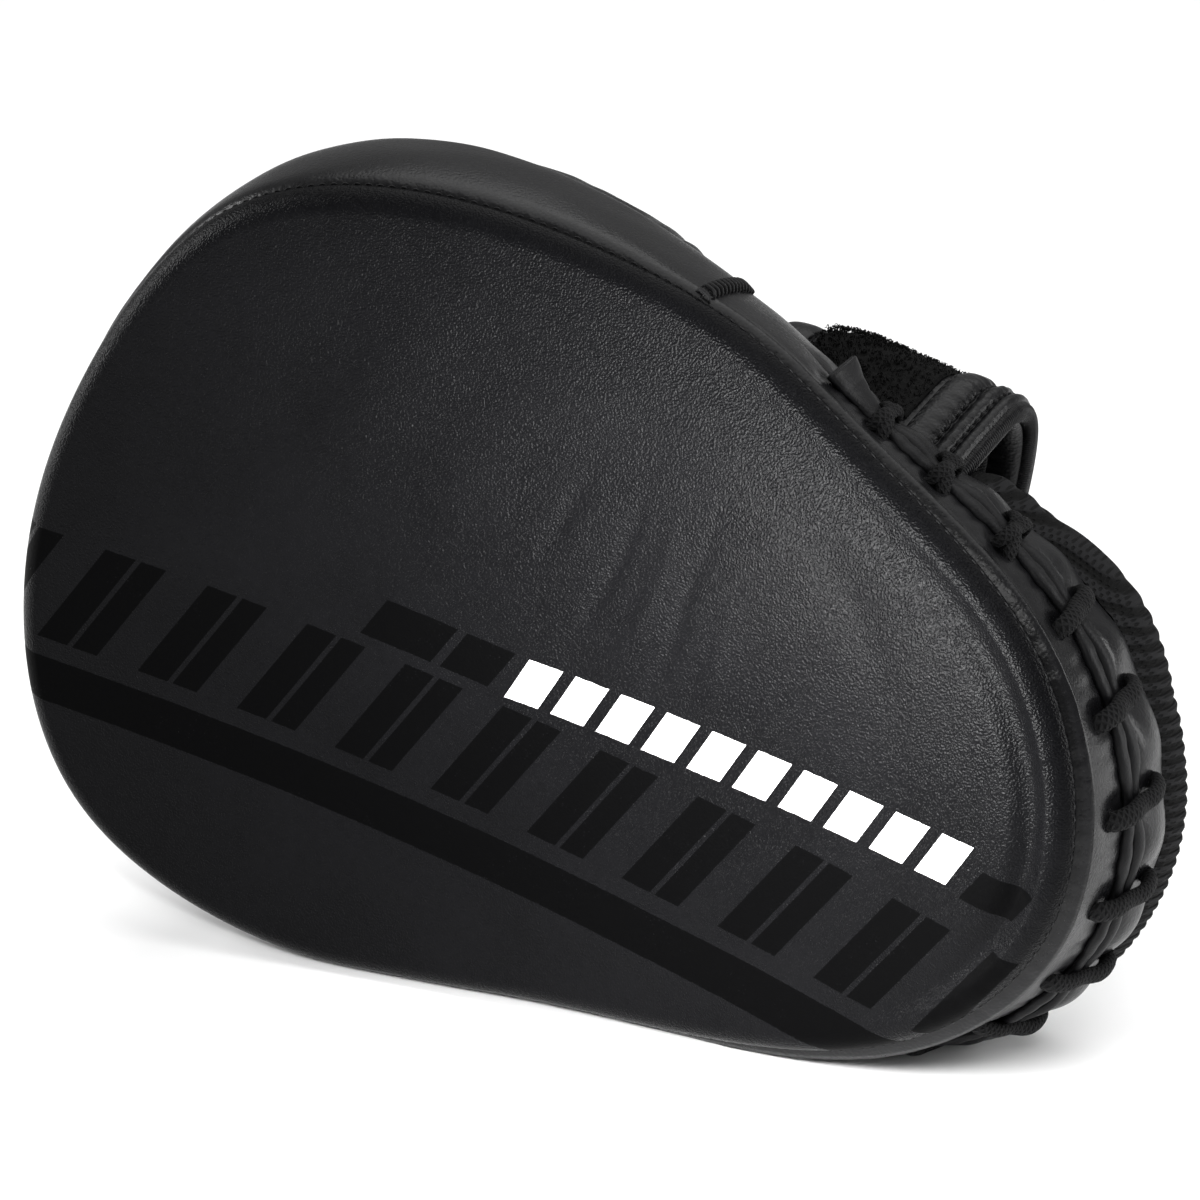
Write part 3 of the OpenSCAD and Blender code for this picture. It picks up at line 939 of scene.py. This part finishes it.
def lacing():
    """Braided lace. The first crossings are doubled, and the rest are single."""
    for k, u in enumerate(LACE_U):
        doubled = k < DOUBLED
        shifts = ((-0.045, 0.0), (0.065, 0.9)) if doubled else ((0.0, 0.0),)
        radius = KNOT_R if doubled else LACE_R
        swell = 1 + 0.05 * np.sin(np.linspace(0, 9, 40) + k)
        for m, (shift, lift) in enumerate(shifts):
            path, out = lace_loop(u, shift, 0.86 if doubled else 1.0, lift - 0.9 * ease(-u, 0.2, 0.8))
            obj = tube(f"lace_crossing_{k + 1}{'ab'[m]}", path, radius * swell, 16, side=out, flat=0.74)
            finish_piece(obj, "lace", replaces=["lace_cord"] if k + m == 0 else ())


def tab():
    """Folded leather sleeve at the upper end of the slit: it flares away from the first
    crossing, flattened, with its open end cut at a slant."""
    u = np.linspace(LACE_U[0] + 0.02, LACE_U[0] + 0.36, 30)
    along = np.linspace(0, 1, 30)
    w = slit_share(u) + 0.02 - 0.03 * along
    out = surface_out(u, w)
    path = gusset_surface(u, w) + out * (1.6 + 2.4 * along)[:, None]
    rings = tube_points(path, 2.9 + 5.6 * along ** 1.1, 28, side=out, flat=0.30)
    turn = np.linspace(0, 2 * math.pi, 28, endpoint=False)
    crease = 0.9 * hump(np.mod(turn - 0.15, 2 * math.pi), 0.9, 0.28)
    rings = rings - out[:, None] * (crease[None] * along[:, None] ** 0.7)[..., None]
    skin("slit_end_tab", rings,
         "gusset_leather", replaces=["lace_tab"], look="soft hem", wall=0.9, close_cols=True)


def seam_threads():
    """Stitches of the face seam, and the whip stitches that join the gussets."""
    u = np.linspace(0, SPANS, 1600)
    turn = np.radians(85 - 15 * heel_share(u))
    xz, n, y = rolled_edge(u, turn)
    path = np.stack([xz[:, 0], y, xz[:, 1]], -1)
    out = np.stack([n[:, 0] * np.sin(turn), -np.cos(turn), n[:, 1] * np.sin(turn)], -1)
    path = path - 0.15 * out
    keep = xz[:, 1] > 1.5
    thread_row("face_seam_stitches", path[keep], out[keep], length=2.0, gap=1.0, radius=0.2)
    w = np.linspace(0.06, 0.93, 14)
    across = np.linspace(-0.055, 0.055, 7)
    uu = JOIN_U + across[None, :] + 0 * w[:, None]
    ww = w[:, None] + 0.012 * np.linspace(-1, 1, 7)
    arch = (1.2 - 1.2 * (across / 0.055) ** 4)[None, :, None]
    arch = arch * (1 - 0.6 * ease(w, 0.75, 0.93))[:, None, None]
    path = gusset_surface(uu, ww, 0.3) + surface_out(uu, ww) * arch
    out = surface_out(uu, ww)
    side = np.cross(unit(np.gradient(path, axis=1)), out)
    obj = many_tubes("join_whip_stitches", path[:, :, None] + 0.55 * ring_of(side, out, 8))
    finish_piece(obj, "thread", replaces=["join_stitches"])


def back_panel():
    """Back of the pad: flat leather with a soft edge that meets the gusset."""
    u = np.linspace(0, SPANS, 480, endpoint=False)
    rim, _ = outline(REAR, u, 0.8)
    share = np.r_[np.linspace(0, 0.9, 24), 0.93, 0.96, 0.98, 0.992, 1.0]
    xz = CENTRE + (rim - CENTRE)[:, None] * share[None, :, None]
    y = back_y(hand_s(xz[..., 0], xz[..., 1])) + 0.4 - 1.6 * np.maximum(share - 0.93, 0) / 0.07
    y = y + 0.3 * ripple(xz[..., 0], xz[..., 1], 70, 8)
    points = np.stack([xz[..., 0], y, np.maximum(xz[..., 1], 0.3)], -1)
    skin("back_leather", points,
         "back_leather", replaces=["back_panel", "rear_foam", "core_foam"], wall=SKIN, close_rows=True)


# ---------------------------------------------------------------- the finger hood

HOOD_MIDDLE = (-12.0, -6.0)     # middle of the open edge, along and across the hand's line
HOOD_TOP = 82.0
HOOD_WALL = 7.0


def reach_to(controls, middle, angle, inset):
    """Distance from a place to the outline, in each direction, read off the outline itself."""
    u = np.linspace(0, SPANS, 1440, endpoint=False)
    p, _ = outline(controls, u, inset)
    ds = hand_s(p[:, 0], p[:, 1]) - middle[0]
    dt = hand_t(p[:, 0], p[:, 1]) - middle[1]
    seen = np.arctan2(dt, ds)
    order = np.argsort(seen)
    return np.interp(angle, seen[order], np.hypot(ds, dt)[order], period=2 * math.pi)


def rays(middle, angle, reach, count):
    """Places on rays from a middle to a reach in each direction, denser towards the end,
    as distances along and across the hand's line, and their shares of the reach."""
    share = np.sin(np.linspace(0, math.pi / 2, count))
    s = middle[0] + share * (reach * np.cos(angle))[:, None]
    t = middle[1] + share * (reach * np.sin(angle))[:, None]
    return s, t, share


def hood_surface(wall):
    """Dome over the finger end: rays from the middle of the open edge, with a flat crown
    and full sides. wall moves it inwards."""
    angle = np.linspace(math.pi / 2, 3 * math.pi / 2, 220)
    s, t, share = rays(HOOD_MIDDLE, angle, reach_to(REAR, HOOD_MIDDLE, angle, 3.2 + wall), 70)
    foot = back_y(s)
    high = (HOOD_TOP - wall - foot) * (1 - share ** 4.6) ** 0.6
    high = high * (1 - 0.22 * share ** 2 * np.cos(angle)[:, None] ** 2)
    y = foot + high + 0.5 * ripple(s, t, 60, 12) * (1 - share ** 4)
    return from_hand(s, y, t)


def hood():
    """Leather hood with its lining, rolled binding and seams."""
    outer = settled(hood_surface(0.0), 2, 2, 2.2, 0.02, closed=False)
    obj = skin("hood_leather", outer, "back_leather", replaces=["finger_hood"], wall=1.2)
    inner = hood_surface(HOOD_WALL)
    skin("hood_inside", inner, "lining", replaces=["hood_lining", "hood_padding"], wall=1.0)
    rim_out = np.concatenate([outer[0, ::-1], outer[-1, 1:]])
    rim_in = np.concatenate([inner[0, ::-1], inner[-1, 1:]])
    middle = (rim_out + rim_in) / 2
    half = np.linalg.norm(rim_out - rim_in, axis=1) / 2 + 0.8
    wide = unit(rim_out - rim_in)
    ahead = np.cross(unit(np.gradient(middle, axis=0)), wide)
    ahead *= np.sign(ahead @ from_hand_vector(1, 0, 0)).reshape(-1, 1)
    turn = np.linspace(-0.62 * math.pi, 0.62 * math.pi, 15)
    ring = np.sin(turn)[:, None] * wide[:, None] * half[:, None, None] \
        + np.cos(turn)[:, None] * ahead[:, None] * 2.4 - ahead[:, None] * 0.4
    skin("hood_binding_roll", middle[:, None] + ring, "binding", replaces=["hood_binding"], wall=1.0)
    line = rim_out - from_hand_vector(1, 0, 0) * 4.6 + wide * 0.5
    thread_row("hood_rim_stitches", line[6:-6], wide[6:-6])
    for name, k in (("hood_seam_upper", 52), ("hood_seam_lower", -53)):
        path = outer[k, 4:-3]
        across, down = (np.gradient(outer, axis=axis)[k, 4:-3] for axis in (0, 1))
        normal = unit(np.cross(across, down))
        normal *= np.sign(normal[:, 1:2] + 1e-6)
        obj = tube(name, path + normal * 0.2, 0.8, 10)
        finish_piece(obj, "binding")
        beside = np.cross(normal, frames_along(path)[0]) * 2.4
        thread_row(name + "_stitches", path + beside + normal * 0.25, normal)


# ---------------------------------------------------------------- the cuff

# Half widths of the cuff at its feet and its walls, and depths of its shoulders and its top
CUFF_FOOT, CUFF_HALF, CUFF_MID, CUFF_TOP = 62.0, 75.0, 70.0, 103.0
PILE_S = (19.2, 52.8)
PILE_LOOPS = 5200


def arch_line(count=400):
    """Cross-section of the cuff from its upper foot over the back to its lower foot:
    straight flared walls and a flat, round-cornered arch. Returns T, Y and outward normals."""
    a = np.radians(np.linspace(0, 180, 181))
    t = CUFF_HALF * np.sign(np.cos(a)) * np.abs(np.cos(a)) ** 0.8
    y = CUFF_MID + (CUFF_TOP - CUFF_MID) * np.sin(a) ** 0.8
    knee = (CUFF_FOOT + CUFF_HALF) / 2 + 0.6
    p = np.stack([np.r_[CUFF_FOOT, knee, t, -knee, -CUFF_FOOT], np.r_[40.0, 55.0, y, 55.0, 40.0]], 1)
    run = run_of(p)
    p = read_at(np.linspace(0, run[-1], count), run, p)
    kernel = np.hanning(27)
    kernel /= kernel.sum()
    soft = np.stack([np.convolve(np.pad(p[:, k], 13, mode="reflect", reflect_type="odd"), kernel, "valid")
                     for k in (0, 1)], 1)
    d = np.gradient(soft, axis=0)
    n = unit(np.stack([-d[:, 1], d[:, 0]], 1))
    return soft[:, 0], soft[:, 1], n * np.sign(n[count // 2, 1])


def cuff_drop(s):
    """How far the cuff sinks towards its front border."""
    return 3.5 * ease(-s, -32, -8)


def on_cuff(s, rise, pick=slice(None)):
    """Points of the cuff: the arch line raised outwards by rise, at s along the hand's line."""
    t, y, n = arch_line()
    t, y, n = t[pick], y[pick], n[pick]
    s, rise = np.broadcast_arrays(np.asarray(s, float), np.asarray(rise, float))
    shape = (len(t),) + (1,) * s.ndim
    rise = rise - cuff_drop(s)
    tt = t.reshape(shape) * (1 + 0.0006 * (s - 37)) + n[:, 0].reshape(shape) * rise
    yy = y.reshape(shape) + n[:, 1].reshape(shape) * rise
    return from_hand(s + 0 * tt, yy, tt)


def cuff_normals(pick=slice(None)):
    """Outward normals of the arch line in three axes."""
    _, _, n = arch_line()
    n = n[pick]
    return np.stack([from_hand_vector(0, b, a) for a, b in n])


# The cuff's section from its front border over to its inside: along the hand, and outwards
CUFF_SECTION = (
    (14, -7.6), (9.5, -7.4), (6.6, -4.6), (6.8, -1.0), (9.5, 1.3), (14, 1.5), (17.4, 0.5), (18.6, -0.2),
    (36, 0.0), (53.4, -0.2), (54.6, 0.9), (57, 1.9), (60.4, 1.9), (62.6, 0.7), (63.2, -0.3), (64.0, 0.8),
    (65.6, 1.7), (67.2, 0.9), (67.8, -0.2), (68.6, 0.9), (70.2, 1.2), (71.6, -0.4), (72.0, -3.0),
    (71.0, -6.0), (68, -7.5), (62, -7.8),
)
# Rows of stitches on the cuff: name, place along the hand, and height
CUFF_STITCHES = (
    ("cuff_wrist_stitches", 62.9, 0.5), ("cuff_rim_stitches", 67.6, 0.5),
    ("cuff_front_stitches", 17.6, 0.5), ("cuff_border_stitches", 55.2, 1.1),
)


def cuff():
    """Cuff shell: a puffed front border, a sunk panel for the pile, a puffed wrist border,
    a stitched groove and two rolls that turn inside, then the lining."""
    along, rise = through(CUFF_SECTION, 170).T
    points = on_cuff(along, rise)
    ruck = 0.22 * np.sin(np.arange(len(points)) * 0.9)[:, None] * hump(along, 63, 3)
    points = points + cuff_normals()[:, None] * ruck[..., None]
    obj = sheet_from("cuff_leather", points)
    finish_piece(obj, "back_leather", wall=0.9,
                 replaces=["cuff_shell", "cuff_rim", "cuff_front_binding", "cuff_padding"])
    path = on_cuff(71.4, -2.6)
    path = read_at(np.arange(1600) / 4, np.arange(400), path)
    obj = tube("cuff_rim_binding", path, 2.5 + 0.16 * np.sin(np.arange(1600) * 1.25), 14)
    finish_piece(obj, "binding")
    along = np.linspace(13.5, 64, 60)
    obj = sheet_from("cuff_inside", on_cuff(along, -7.9 - 0.3 * np.sin(along * 0.35) ** 2),
                     scale=(0.75, 0.85))
    finish_piece(obj, "lining", replaces=["cuff_lining"], wall=0.8)
    pick = slice(14, -14)
    for name, s, rise in CUFF_STITCHES:
        thread_row(name, on_cuff(s, rise, pick).reshape(-1, 3), cuff_normals(pick))


def pile():
    """Loop pile: a soft pad with short curled loops standing all over it."""
    pick = slice(24, 262)
    s = np.linspace(*PILE_S, 70)
    edge = np.minimum(np.minimum(s - PILE_S[0], PILE_S[1] - s) / 1.2, 1)
    base = on_cuff(s, 0.1 + 0.9 * np.sqrt(edge), pick)
    rough = rng.normal(0, 0.16, base.shape[:2])
    base = base + cuff_normals(pick)[:, None] * rough[..., None]
    skin("pile_backing", base, "pile", replaces=["loop_pile"])
    count = PILE_LOOPS
    t, y, n = arch_line()
    at = rng.uniform(25, 260, count)
    along = rng.uniform(PILE_S[0] + 0.4, PILE_S[1] - 0.4, count)
    low = np.floor(at).astype(int)
    rise = 0.8 - cuff_drop(along)
    root = from_hand(along, y[low] + n[low, 1] * rise, t[low] + n[low, 0] * rise)
    out = np.stack([from_hand_vector(0, b, a) for a, b in n])[low]
    lean = rng.normal(0, 1, (count, 3))
    lean = unit(lean - (lean * out).sum(1, keepdims=True) * out)
    f = np.linspace(0, 1, 5)
    tall = rng.uniform(0.7, 1.5, count)
    wide = rng.uniform(0.4, 1.1, count)
    path = root[:, None] + out[:, None] * (tall[:, None] * np.sin(math.pi * f * 0.86))[..., None] \
        + lean[:, None] * (wide[:, None] * (1 - np.cos(math.pi * f)) / 2)[..., None]
    ahead = np.gradient(path, axis=1)
    side = np.cross(ahead, out[:, None])
    side /= np.linalg.norm(side, axis=-1, keepdims=True) + 1e-9
    up = np.cross(side, ahead)
    up /= np.linalg.norm(up, axis=-1, keepdims=True) + 1e-9
    thick = rng.uniform(0.09, 0.16, count)[:, None, None, None]
    obj = many_tubes("pile_loops", path[:, :, None] + ring_of(side, up, 3) * thick)
    finish_piece(obj, "pile")


# ---------------------------------------------------------------- the strap

STRAP_S = (18.6, 53.4)      # edges of the strap along the hand's line
STRAP_WALL = (0.62, 0.78)   # direction of the cuff's lower wall, behind and across


def strap_band(pick, out, s, lifts):
    """Strap leather: a crowned outside with a sewn line by each edge, a flat inside, closed ends."""
    from_edge = np.minimum(s - s[0], s[-1] - s)
    crown = 0.9 + 1.1 * np.sqrt(np.minimum(from_edge / 1.6, 1))
    crown = crown - 0.5 * hump(from_edge, 3.0, 0.6)
    top = on_cuff(s, 0, pick)
    outside = top + out[:, None] * (lifts[:, None] + crown)[..., None]
    inside = top + out[:, None] * (lifts[:, None] + 0 * crown - 0.35)[..., None]
    loop = capped(np.concatenate([outside, inside[:, ::-1]], 1), squeeze=True)
    obj = sheet_from("strap_band", loop, close_cols=True)
    obj.data.materials.append(MATERIALS["back_leather"])
    up = from_hand_vector(0, *STRAP_WALL) * MM
    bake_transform(obj)
    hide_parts("strap_leather", "strap_root")


def strap():
    """Wrist strap: sewn down on the cuff's lower wall, over the back, with hook tape inside
    and a pull tab at its end. Its stitches, hook tape and pull tab ride on the strap's body."""
    t, y, n = arch_line()
    pick = np.where((t < 40) & (y > 55))[0][::-1]
    out = cuff_normals(pick)
    lifts = ease(np.arange(len(pick)), 0, 26) * 2.2 + 1.0
    strap_band(pick, out, np.linspace(*STRAP_S, 40), lifts)
    for name, s_row in (("strap_stitches_a", STRAP_S[0] + 2.8), ("strap_stitches_b", STRAP_S[1] - 2.8)):
        row = on_cuff(s_row, 0, pick).reshape(-1, 3) + out * (lifts + 1.65)[:, None]
        thread_row(name, row[34:-3], out[34:-3], "strap")
    tip = pick[-58:-2]
    s = np.linspace(STRAP_S[0] + 4.2, STRAP_S[1] - 4.2, 26)
    hook = on_cuff(s, 0, tip) + cuff_normals(tip)[:, None] * 2.55
    skin("strap_hook_tape", hook,
         "hook_tape", "strap", replaces=["hook_patch"], wall=0.75, scale=(0.9, 1.0))
    t, y, (across, behind) = t[pick[-1]], y[pick[-1]], n[pick[-1]]
    span = np.linspace(0, 15, 22)
    width = np.linspace(-6.5, 6.5, 16)
    taper = 1 - 0.25 * ease(span, 9, 15)
    tab_t = t + behind * (span - 3) + across * 3.9
    tab_y = y - across * (span - 3) + behind * (3.9 - 0.012 * span ** 2)
    points = from_hand(HINGE_IN_HAND[0] + width * taper[:, None],
                       tab_y[:, None] + 0.5 * np.cos(width / 6.5 * 1.4), tab_t[:, None])
    skin("strap_pull_tab", points, "binding", "strap", replaces=["strap_tab"], wall=1.6)


# ---------------------------------------------------------------- cushions

CUSHION_MIDDLE = (104.0, -3.0)  # along and across the hand's line
CUSHION_EDGE_S = 72.5           # straight edge by the cuff


def wrist_cushion():
    """Domed cushion over the wrist end: rays from its middle to the outline on the outside
    and to a straight edge by the cuff, with ribs that run along the hand's line."""
    angle = np.linspace(-math.pi, math.pi, 620, endpoint=False)
    rim = reach_to(REAR, CUSHION_MIDDLE, angle, 1.6) + 3.4 * hump(angle, 1.32, 0.36)
    flat = (CUSHION_MIDDLE[0] - CUSHION_EDGE_S) / np.maximum(-np.cos(angle), 1e-3)
    s, t, share = rays(CUSHION_MIDDLE, angle, (rim ** -9.0 + flat ** -9.0) ** (-1 / 9.0), 110)
    foot = back_y(s) - 3.0
    top = 66.0 + 1.5 * np.cos((s - 96) / 38) - 0.0012 * t ** 2
    y = foot + (top - foot) * (1 - share ** 5) ** 0.2
    puff = 3.6 * np.sin(math.pi * np.clip((y - foot) / (top - foot), 0, 1)) ** 0.8 * share ** 8
    s = s + puff * np.cos(angle)[:, None]
    t = t + puff * np.sin(angle)[:, None]
    smooth = settled(np.stack([s, y, t], -1), 5, 2, 3.0, 0.015)
    s, y, t = smooth[..., 0], smooth[..., 1], smooth[..., 2]
    bend = t + 2.2 * np.sin(s * 0.11 + 0.6) + 5.0 * ((s - 85) / 55) ** 2
    rib = np.cos(2 * math.pi * bend / RIB_PITCH)
    y = y + 0.36 * rib * np.minimum(1, (1 - share) * 9 + 0.5)
    swell = 0.22 * rib * share ** 8
    s = s + swell * np.cos(angle)[:, None]
    t = t + swell * np.sin(angle)[:, None]
    points = from_hand(s, y, t)
    points[..., 2] = np.maximum(points[..., 2], 0.4)
    obj = sheet_from("wrist_cushion_mesh", points, close_rows=True, weld=False)
    uv = obj.data.uv_layers[0].data
    corner = np.zeros(len(obj.data.loops), int)
    obj.data.loops.foreach_get("vertex_index", corner)
    uv.foreach_set("uv", np.stack([s.ravel()[corner], bend.ravel()[corner]], -1).ravel())
    tidy_mesh(obj)
    finish_piece(obj, "spacer_mesh", replaces=["wrist_pad_mesh", "wrist_pad_foam"])


def superpad(name, s_mid, s_half, t_half, top, slot, replaces, power, round_top):
    """Cushion on the pad's back with a rounded rectangular plan and full sides."""
    angle = np.linspace(-math.pi, math.pi, 240, endpoint=False)
    c, d = np.abs(np.cos(angle)) / s_half, np.abs(np.sin(angle)) / t_half
    s, t, share = rays((s_mid, 0.0), angle, (c ** power + d ** power) ** (-1 / power), 60)
    foot = back_y(s) - 0.5
    y = foot + (top - foot + 0.4 * ripple(s, t, 30, 17)) * (1 - share ** 3) ** round_top
    obj = skin(name, settled(from_hand(s, y, t), 3, 2, 2.0, 0.02), slot, replaces=replaces, close_rows=True)


# ---------------------------------------------------------------- stage, lights and camera

CAMERA_TURN, CAMERA_RISE = math.radians(30), math.radians(18)
CAMERA_AIM = (6.0, 0.0, 109.1)
CAMERA_AWAY = 0.8684
LENS, SENSOR, SHIFT_X = 110, 36, 0.033
MIDDLE = (0, 0, 0.11)
# Area lights: name, place, what it is aimed at, width and height, and watts
LIGHTS = (
    ("left strip", (-1.3, -0.35, 0.55), MIDDLE, (0.3, 1.0), 14),
    ("right strip", (1.3, 0.65, 0.45), MIDDLE, (0.5, 1.0), 13),
    ("front fill", (0.9, -1.7, 1.5), MIDDLE, (0.7, 0.5), 14),
    ("low glow", (0.05, -0.20, 0.104), (0.10, -0.04, 0.14), (0.10, 0.03), 1.25),
)
SUN_POWER, SUN_ANGLE = 2.5, math.radians(75)
SUN_TILT = (math.radians(-14), math.radians(6), 0)
WORLD = 0.28


def add(name, data, where=(0, 0, 0)):
    """Object with this data in the scene."""
    obj = bpy.data.objects.new(name, data)
    obj.location = where
    bpy.context.collection.objects.link(obj)
    return obj


def camera():
    """Camera at three quarters from the front, a little above."""
    flat = math.cos(CAMERA_RISE)
    back = np.array([math.sin(CAMERA_TURN) * flat, -math.cos(CAMERA_TURN) * flat, math.sin(CAMERA_RISE)])
    data = bpy.data.cameras.new("camera")
    data.lens = LENS
    data.sensor_width = SENSOR
    data.shift_x = SHIFT_X
    obj = add("camera", data, place(CAMERA_AIM) + back * CAMERA_AWAY)
    obj.rotation_euler = Vector(back).to_track_quat("Z", "Y").to_euler()
    bpy.context.scene.camera = obj


def softbox(name, where, target, size, power):
    """Rectangular area light aimed at a place, which the camera doesn't see."""
    data = bpy.data.lights.new(name, "AREA")
    data.shape = "RECTANGLE"
    data.size, data.size_y = size
    data.energy = power
    obj = add(name, data, where)
    obj.visible_camera = False
    obj.rotation_euler = (Vector(where) - Vector(target)).to_track_quat("Z", "Y").to_euler()


def stage():
    """Wide pale floor under soft overhead light, with strip lights at the sides."""
    span = np.linspace(-9, 9, 7)
    x, y = np.meshgrid(span, span, indexing="ij")
    floor = sheet_from("floor", (np.stack([x, y, 0 * x - 0.0002], -1) - ORIGIN) / MM)
    f = Finish("pale floor", (0.91, 0.91, 0.91), 0.6)
    f.link(f.start.mix(f.noise(3, 2), grey(0.90), grey(0.92)), "Base Color")
    floor.data.materials.append(f.done())
    world = bpy.data.worlds.new("studio")
    bpy.context.scene.world = world
    world.use_nodes = True
    background = world.node_tree.nodes["Background"]
    background.inputs["Color"].default_value = (1, 1, 1, 1)
    background.inputs["Strength"].default_value = WORLD
    sun = bpy.data.lights.new("broad overhead", "SUN")
    sun.energy = SUN_POWER
    sun.angle = SUN_ANGLE
    add("broad overhead", sun).rotation_euler = SUN_TILT
    for values in LIGHTS:
        softbox(*values)
    bpy.context.scene.view_settings.view_transform = "Standard"


camera()
strike_panel()
gussets()
lips()
lacing()
tab()
seam_threads()
back_panel()
hood()
cuff()
pile()
strap()
wrist_cushion()
superpad("wrist_shelf", 56.5, 17.0, 50.0, 58.0, "spacer_mesh", [], 8.0, 0.5)
superpad("palm_bar", 12.0, 19.5, 48.0, 62.0, "palm_leather", ["palm_cushion"], 4.0, 0.6)
stage()
